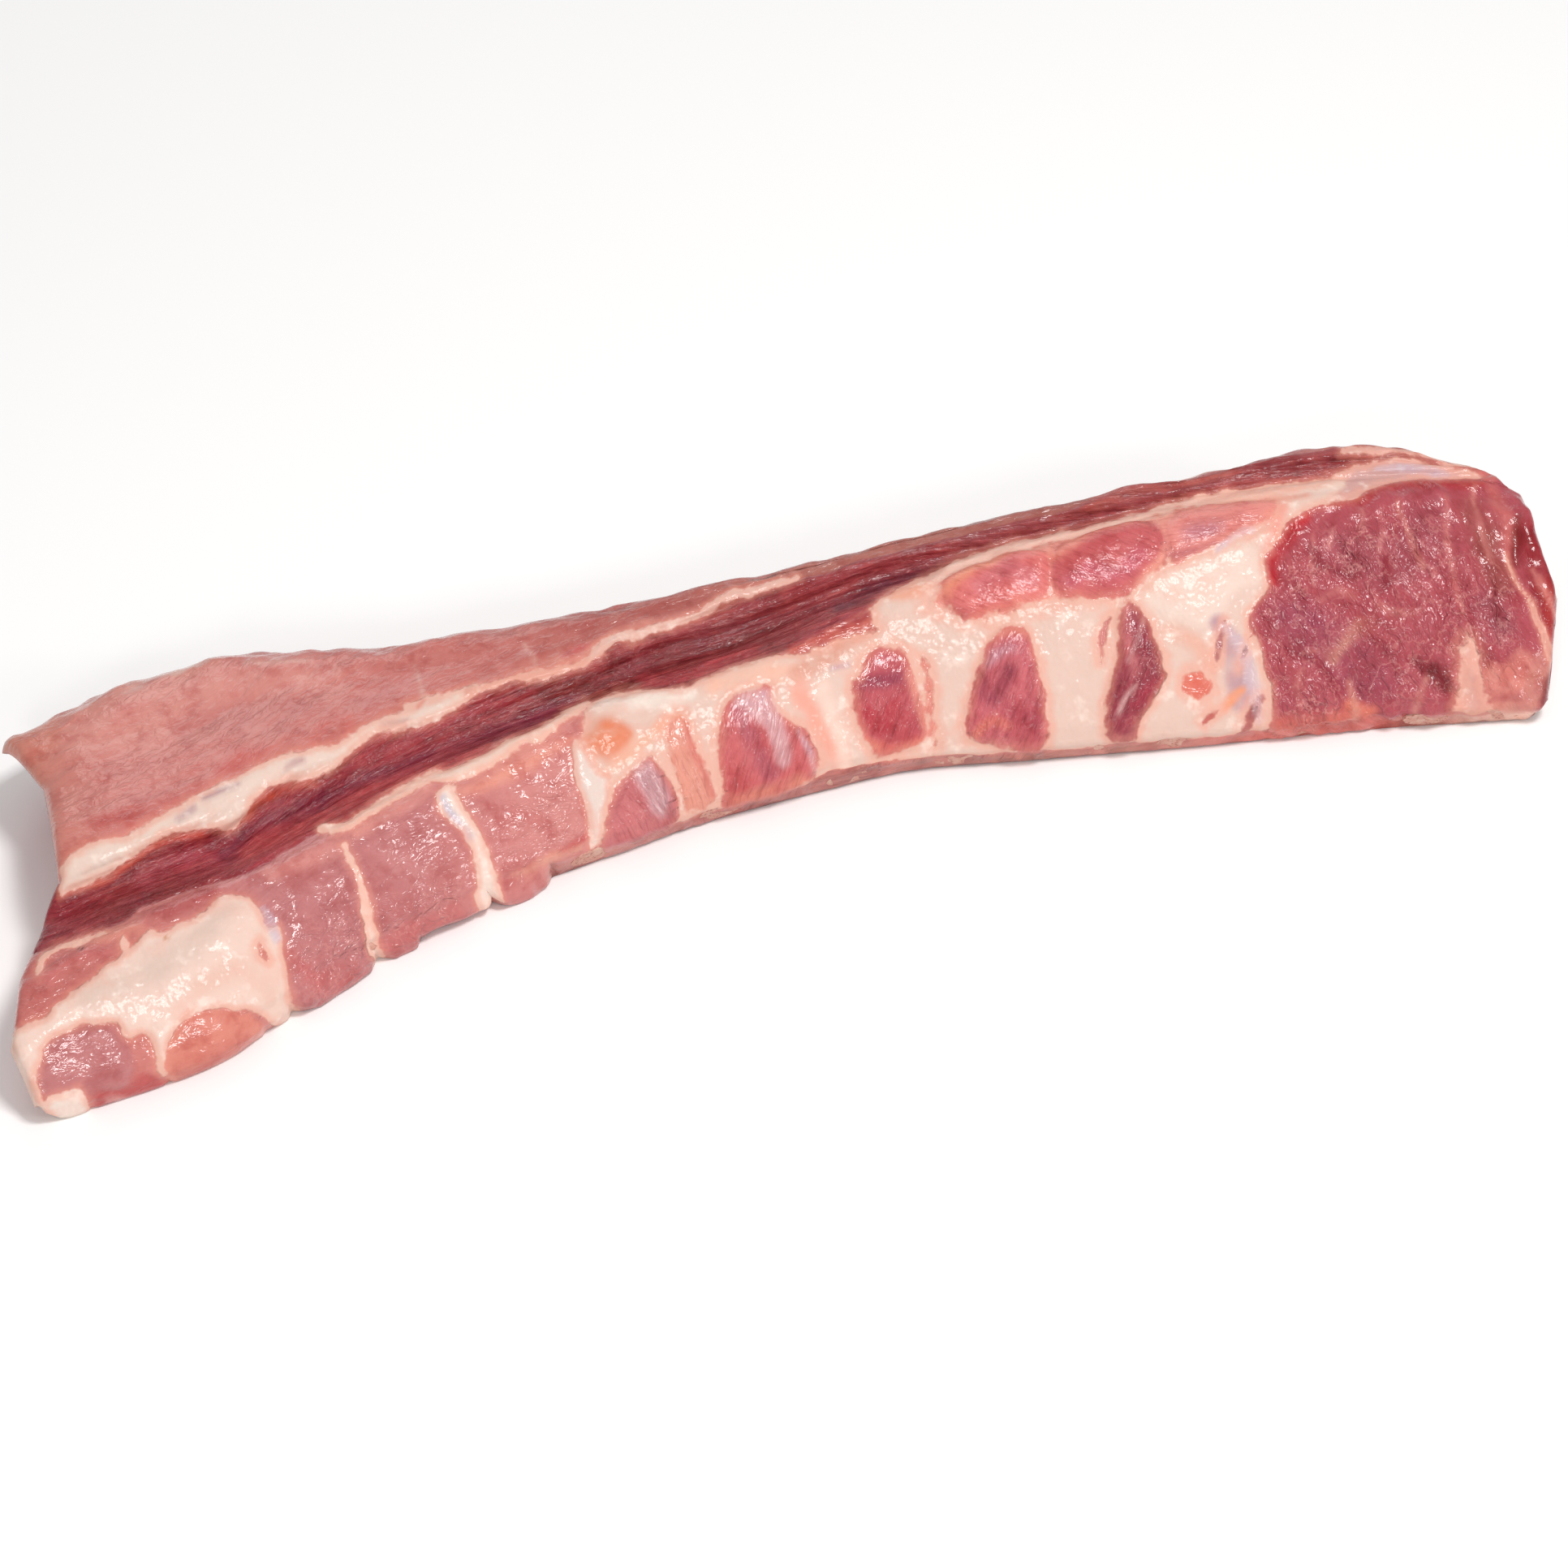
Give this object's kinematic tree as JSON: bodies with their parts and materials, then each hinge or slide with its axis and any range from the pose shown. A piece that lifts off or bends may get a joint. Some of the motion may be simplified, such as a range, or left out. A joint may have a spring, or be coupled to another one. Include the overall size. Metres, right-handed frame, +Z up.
{
  "type": "raw pork back ribs",
  "caption": "Raw rack of pork back ribs, one long bent piece of meat with the rib bones running through it to their sawn ends.",
  "frame": {"origin": "centre of the bounding box on the table that the rack lies on", "axes": "+X along the rack to its thick loin end, +Y from the rib side with the sawn ends to the far side, +Z up"},
  "size_m": [0.5014, 0.1588, 0.0565],
  "materials": {
    "raw_meat": null,
    "rib_bone": null
  },
  "bodies": {
    "root": {"meat": "raw_meat", "rib_01": "rib_bone", "rib_02": "rib_bone", "rib_03": "rib_bone", "rib_04": "rib_bone", "rib_05": "rib_bone", "rib_06": "rib_bone", "rib_07": "rib_bone", "rib_08": "rib_bone", "rib_09": "rib_bone", "rib_10": "rib_bone", "rib_11": "rib_bone", "rib_12": "rib_bone"}
  },
  "joints": []
}
